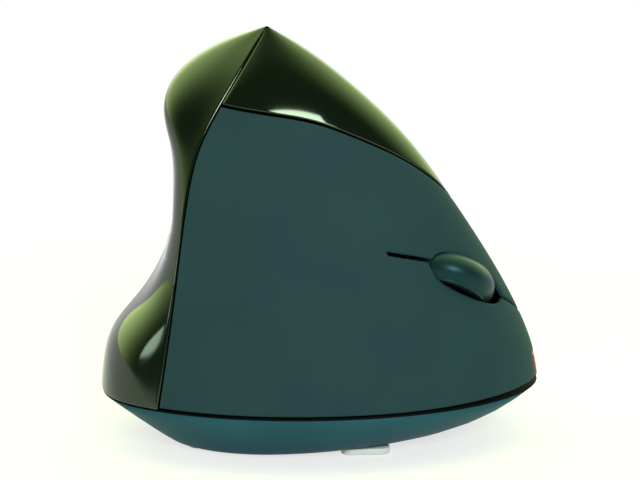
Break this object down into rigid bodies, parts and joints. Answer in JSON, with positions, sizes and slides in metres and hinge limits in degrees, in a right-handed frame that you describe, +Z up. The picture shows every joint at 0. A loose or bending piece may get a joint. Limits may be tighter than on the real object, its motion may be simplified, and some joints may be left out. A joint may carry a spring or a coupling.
{
  "type": "vertical ergonomic mouse",
  "caption": "Upright computer mouse for the right hand, with a sloping finger face, pressing finger and thumb buttons and a scroll wheel that turns and clicks.",
  "frame": {"origin": "on the desk under the middle of the footprint", "axes": "+X from heel to nose, +Y from the finger side to the thumb side, +Z up"},
  "size_m": [0.1094, 0.0659, 0.1019],
  "materials": {
    "soft_touch": "soft-touch matte dark teal",
    "gloss_shell": "polished dark green black",
    "satin_base": "satin blue grey",
    "red_lens": "translucent red",
    "clear_lens": "clear",
    "frame_plastic": "moulded dark grey",
    "tyre_rubber": "smooth dark teal rubber",
    "glide_ptfe": "white waxy",
    "knob_white": "white",
    "plunger_brown": "brown",
    "circuit_board": "green solder mask",
    "switch_black": "moulded black",
    "cell_jacket": "plain foil jacket",
    "steel": "bright"
  },
  "bodies": {
    "housing": {"finger_panel": "soft_touch", "thumb_shell": "gloss_shell", "crest_cover": "gloss_shell", "base_shell": "satin_base", "nose_lens": "red_lens", "nose_led": "red_lens", "sensor_lens": "clear_lens", "inner_frame": "frame_plastic", "glide_feet": "glide_ptfe", "main_board": "circuit_board", "button_board": "circuit_board", "click_board": "circuit_board", "thumb_board": "circuit_board", "sensor_chip": "switch_black", "upper_switch": "switch_black", "lower_switch": "switch_black", "click_switch": "switch_black", "thumb_switches": "switch_black", "power_switch": "switch_black", "battery_cell": "cell_jacket", "spring_contact": "steel", "flat_contact": "steel", "case_screws": "steel", "board_screws": "steel"},
    "upper_button": {"upper_button": "soft_touch"},
    "lower_button": {"lower_button": "soft_touch"},
    "upper_plunger": {"upper_plunger": "knob_white"},
    "lower_plunger": {"lower_plunger": "knob_white"},
    "wheel_yoke": {"wheel_yoke": "frame_plastic", "scroll_encoder": "switch_black", "scroll_axle": "steel"},
    "scroll_wheel": {"scroll_hub": "frame_plastic", "scroll_tyre": "tyre_rubber"},
    "click_plunger": {"click_plunger": "plunger_brown"},
    "thumb_button_front": {"thumb_button_front": "gloss_shell"},
    "thumb_button_rear": {"thumb_button_rear": "gloss_shell"},
    "thumb_plunger_front": {"thumb_plunger_front": "plunger_brown"},
    "thumb_plunger_rear": {"thumb_plunger_rear": "plunger_brown"},
    "power_knob": {"power_knob": "knob_white"},
    "battery_door": {"battery_door": "satin_base"}
  },
  "joints": [
    {"name": "upper_button_press", "type": "hinge", "parent": "housing", "child": "upper_button", "pos_m": [0.015, -0.02047, 0.04394], "axis": [0, 0.3356, 0.942], "range_deg": [0, 1.3], "stiffness_Nm_per_rad": 0.7, "springref_deg": -0.29},
    {"name": "lower_button_press", "type": "hinge", "parent": "housing", "child": "lower_button", "pos_m": [0.015, -0.02047, 0.04394], "axis": [0, 0.3356, 0.942], "range_deg": [0, 1.3], "stiffness_Nm_per_rad": 0.7, "springref_deg": -0.29},
    {"name": "upper_plunger_press", "type": "slide", "parent": "housing", "child": "upper_plunger", "axis": [0, 0.942, -0.3356], "range_m": [0, 0.0003]},
    {"name": "lower_plunger_press", "type": "slide", "parent": "housing", "child": "lower_plunger", "axis": [0, 0.942, -0.3356], "range_m": [0, 0.0005]},
    {"name": "wheel_click", "type": "slide", "parent": "housing", "child": "wheel_yoke", "axis": [-0.4929, 0.7841, -0.3771], "range_m": [0, 0.0005], "stiffness_N_per_m": 2000, "springref_m": -0.0001},
    {"name": "wheel_scroll", "type": "hinge", "parent": "wheel_yoke", "child": "scroll_wheel", "pos_m": [0.03077, -0.00821, 0.0403], "axis": [0.2751, 0.5516, 0.7874], "continuous": true},
    {"name": "click_plunger_press", "type": "slide", "parent": "housing", "child": "click_plunger", "axis": [-0.4929, 0.7841, -0.3771], "range_m": [0, 0.0005]},
    {"name": "thumb_front_press", "type": "slide", "parent": "housing", "child": "thumb_button_front", "axis": [-0.1472, -0.9782, -0.1465], "range_m": [0, 0.0005], "stiffness_N_per_m": 1500, "springref_m": -0.0001},
    {"name": "thumb_plunger_front_press", "type": "slide", "parent": "housing", "child": "thumb_plunger_front", "axis": [-0.1472, -0.9782, -0.1465], "range_m": [0, 0.0005]},
    {"name": "thumb_rear_press", "type": "slide", "parent": "housing", "child": "thumb_button_rear", "axis": [-0.1472, -0.9782, -0.1465], "range_m": [0, 0.0005], "stiffness_N_per_m": 1500, "springref_m": -0.0001},
    {"name": "thumb_plunger_rear_press", "type": "slide", "parent": "housing", "child": "thumb_plunger_rear", "axis": [-0.1472, -0.9782, -0.1465], "range_m": [0, 0.0005]},
    {"name": "power_slide", "type": "slide", "parent": "housing", "child": "power_knob", "axis": [1, 0, 0], "range_m": [0, 0.0026]},
    {"name": "battery_door_off", "type": "slide", "parent": "housing", "child": "battery_door", "axis": [0, 0, -1], "range_m": [0, 0.01]}
  ],
  "couplings": [
    {"joint": "upper_plunger_press", "follows": "upper_button_press", "m_per_rad": 0.010647},
    {"joint": "lower_plunger_press", "follows": "lower_button_press", "m_per_rad": 0.018828},
    {"joint": "click_plunger_press", "follows": "wheel_click", "ratio": 1},
    {"joint": "thumb_plunger_front_press", "follows": "thumb_front_press", "ratio": 1},
    {"joint": "thumb_plunger_rear_press", "follows": "thumb_rear_press", "ratio": 1}
  ]
}
